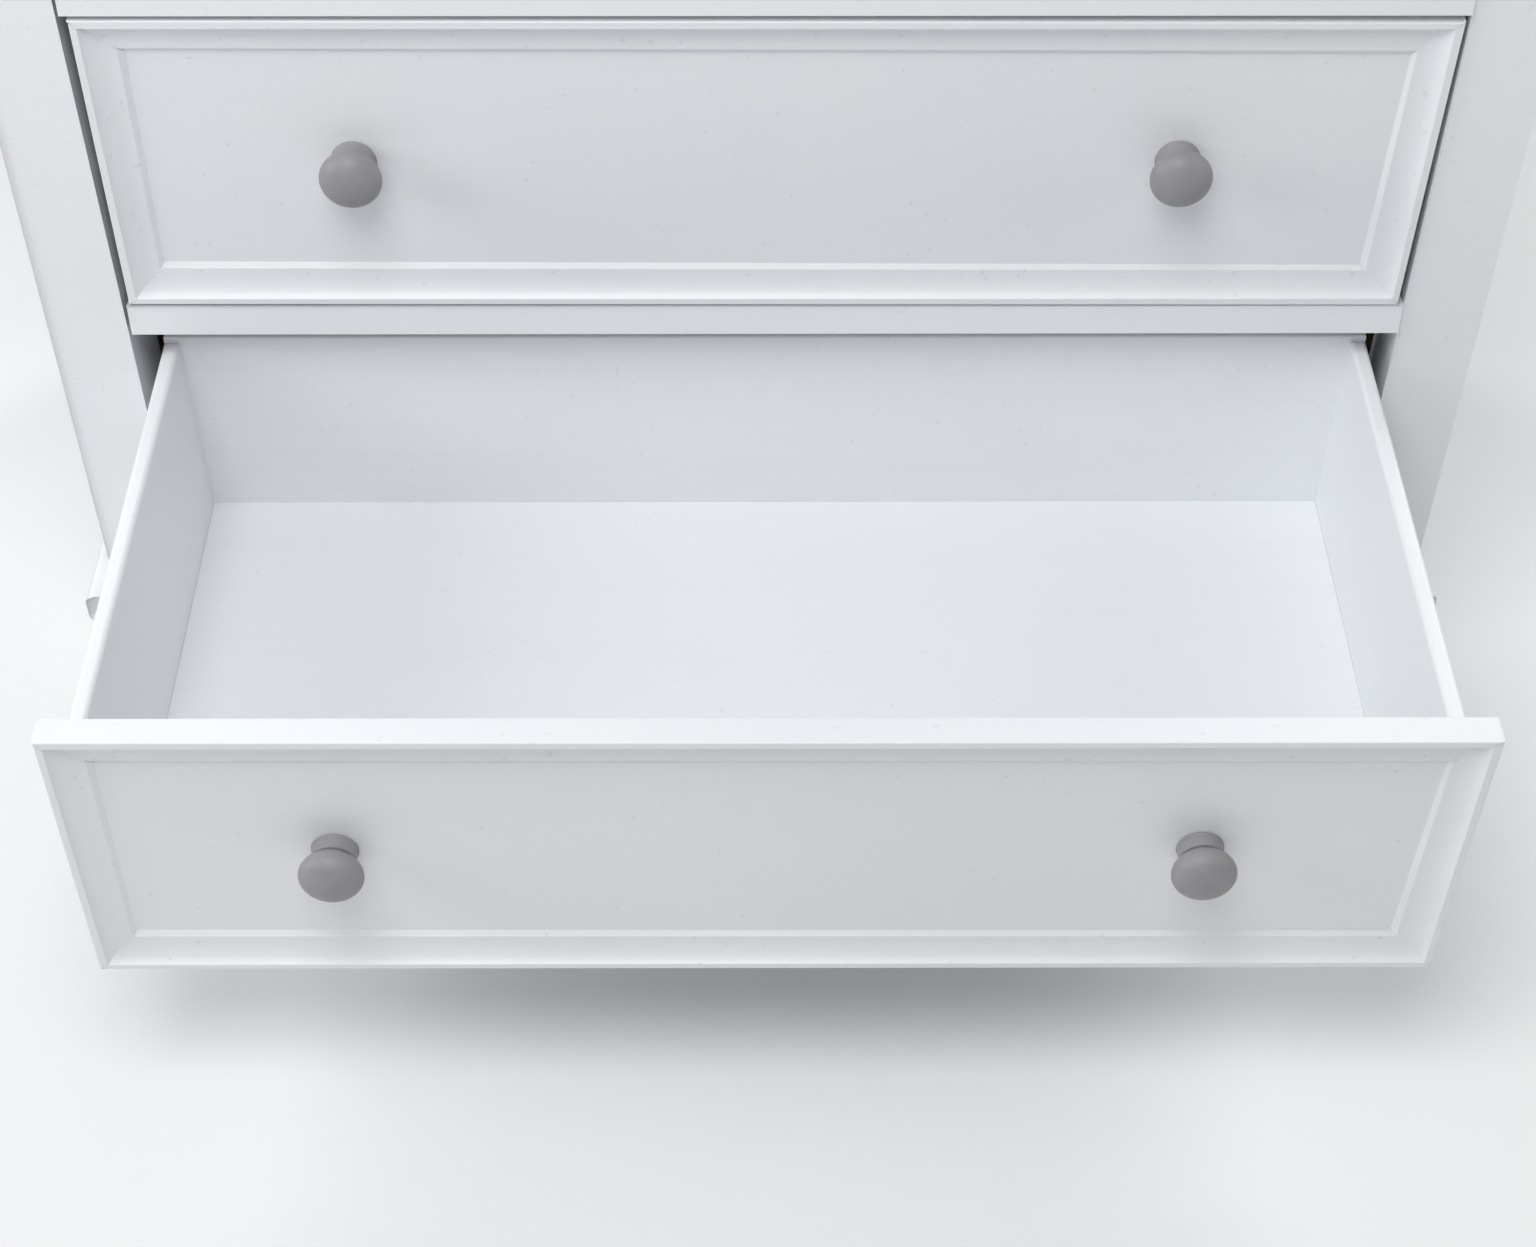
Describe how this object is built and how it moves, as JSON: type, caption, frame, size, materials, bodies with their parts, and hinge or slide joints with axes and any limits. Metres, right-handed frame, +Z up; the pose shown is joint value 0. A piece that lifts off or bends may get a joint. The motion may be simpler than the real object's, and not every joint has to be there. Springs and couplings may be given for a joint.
{
  "type": "tall chest of drawers",
  "caption": "Tall free-standing chest of drawers in white paint with cove-bordered fronts, round grey knobs, full-extension slides and its bottom drawer standing open.",
  "frame": {"origin": "on the floor, under the middle of the case's footprint", "axes": "+X to the chest's right as seen from the front, +Y to the back, +Z up; drawers open along -Y"},
  "size_m": [0.913, 0.7718, 1.2565],
  "materials": {
    "white_paint": "satin white paint",
    "back_board": "matte white foil on fibreboard",
    "bare_wood": "bare sawn spruce",
    "grey_paint": "satin grey paint on turned wood",
    "zinc_steel": "bright zinc plate"
  },
  "bodies": {
    "case": {"front_post_left": "white_paint", "front_post_right": "white_paint", "rear_post_left": "white_paint", "rear_post_right": "white_paint", "side_panel_left": "white_paint", "side_panel_right": "white_paint", "back_panel": "back_board", "top_board": "white_paint", "base_board": "white_paint", "plinth_frame": "white_paint", "front_rails": "white_paint", "slide_battens": "bare_wood", "outer_slides": "zinc_steel", "rear_screws": "zinc_steel", "wall_brackets": "zinc_steel"},
    "drawer_1": {"drawer_1_front": "white_paint", "drawer_1_side_left": "white_paint", "drawer_1_side_right": "white_paint", "drawer_1_back": "white_paint", "drawer_1_floor": "white_paint", "drawer_1_knobs": "grey_paint", "drawer_1_knob_screws": "zinc_steel", "drawer_1_inner_slides": "zinc_steel"},
    "slide_carrier_1": {"drawer_1_middle_slides": "zinc_steel"},
    "drawer_2": {"drawer_2_front": "white_paint", "drawer_2_side_left": "white_paint", "drawer_2_side_right": "white_paint", "drawer_2_back": "white_paint", "drawer_2_floor": "white_paint", "drawer_2_knobs": "grey_paint", "drawer_2_knob_screws": "zinc_steel", "drawer_2_inner_slides": "zinc_steel"},
    "slide_carrier_2": {"drawer_2_middle_slides": "zinc_steel"},
    "drawer_3": {"drawer_3_front": "white_paint", "drawer_3_side_left": "white_paint", "drawer_3_side_right": "white_paint", "drawer_3_back": "white_paint", "drawer_3_floor": "white_paint", "drawer_3_knobs": "grey_paint", "drawer_3_knob_screws": "zinc_steel", "drawer_3_inner_slides": "zinc_steel"},
    "slide_carrier_3": {"drawer_3_middle_slides": "zinc_steel"},
    "drawer_4": {"drawer_4_front": "white_paint", "drawer_4_side_left": "white_paint", "drawer_4_side_right": "white_paint", "drawer_4_back": "white_paint", "drawer_4_floor": "white_paint", "drawer_4_knobs": "grey_paint", "drawer_4_knob_screws": "zinc_steel", "drawer_4_inner_slides": "zinc_steel"},
    "slide_carrier_4": {"drawer_4_middle_slides": "zinc_steel"},
    "drawer_5": {"drawer_5_front": "white_paint", "drawer_5_side_left": "white_paint", "drawer_5_side_right": "white_paint", "drawer_5_back": "white_paint", "drawer_5_floor": "white_paint", "drawer_5_knobs": "grey_paint", "drawer_5_knob_screws": "zinc_steel", "drawer_5_inner_slides": "zinc_steel"},
    "slide_carrier_5": {"drawer_5_middle_slides": "zinc_steel"}
  },
  "joints": [
    {"name": "drawer_1_slide", "type": "slide", "parent": "case", "child": "drawer_1", "axis": [0, -1, 0], "range_m": [-0.33, 0]},
    {"name": "slide_carrier_1_slide", "type": "slide", "parent": "case", "child": "slide_carrier_1", "axis": [0, -1, 0], "range_m": [-0.165, 0]},
    {"name": "drawer_2_slide", "type": "slide", "parent": "case", "child": "drawer_2", "axis": [0, -1, 0], "range_m": [0, 0.33]},
    {"name": "slide_carrier_2_slide", "type": "slide", "parent": "case", "child": "slide_carrier_2", "axis": [0, -1, 0], "range_m": [0, 0.165]},
    {"name": "drawer_3_slide", "type": "slide", "parent": "case", "child": "drawer_3", "axis": [0, -1, 0], "range_m": [0, 0.33]},
    {"name": "slide_carrier_3_slide", "type": "slide", "parent": "case", "child": "slide_carrier_3", "axis": [0, -1, 0], "range_m": [0, 0.165]},
    {"name": "drawer_4_slide", "type": "slide", "parent": "case", "child": "drawer_4", "axis": [0, -1, 0], "range_m": [0, 0.33]},
    {"name": "slide_carrier_4_slide", "type": "slide", "parent": "case", "child": "slide_carrier_4", "axis": [0, -1, 0], "range_m": [0, 0.165]},
    {"name": "drawer_5_slide", "type": "slide", "parent": "case", "child": "drawer_5", "axis": [0, -1, 0], "range_m": [0, 0.33]},
    {"name": "slide_carrier_5_slide", "type": "slide", "parent": "case", "child": "slide_carrier_5", "axis": [0, -1, 0], "range_m": [0, 0.165]}
  ],
  "couplings": [
    {"joint": "slide_carrier_1_slide", "follows": "drawer_1_slide", "ratio": 0.5},
    {"joint": "slide_carrier_2_slide", "follows": "drawer_2_slide", "ratio": 0.5},
    {"joint": "slide_carrier_3_slide", "follows": "drawer_3_slide", "ratio": 0.5},
    {"joint": "slide_carrier_4_slide", "follows": "drawer_4_slide", "ratio": 0.5},
    {"joint": "slide_carrier_5_slide", "follows": "drawer_5_slide", "ratio": 0.5}
  ]
}
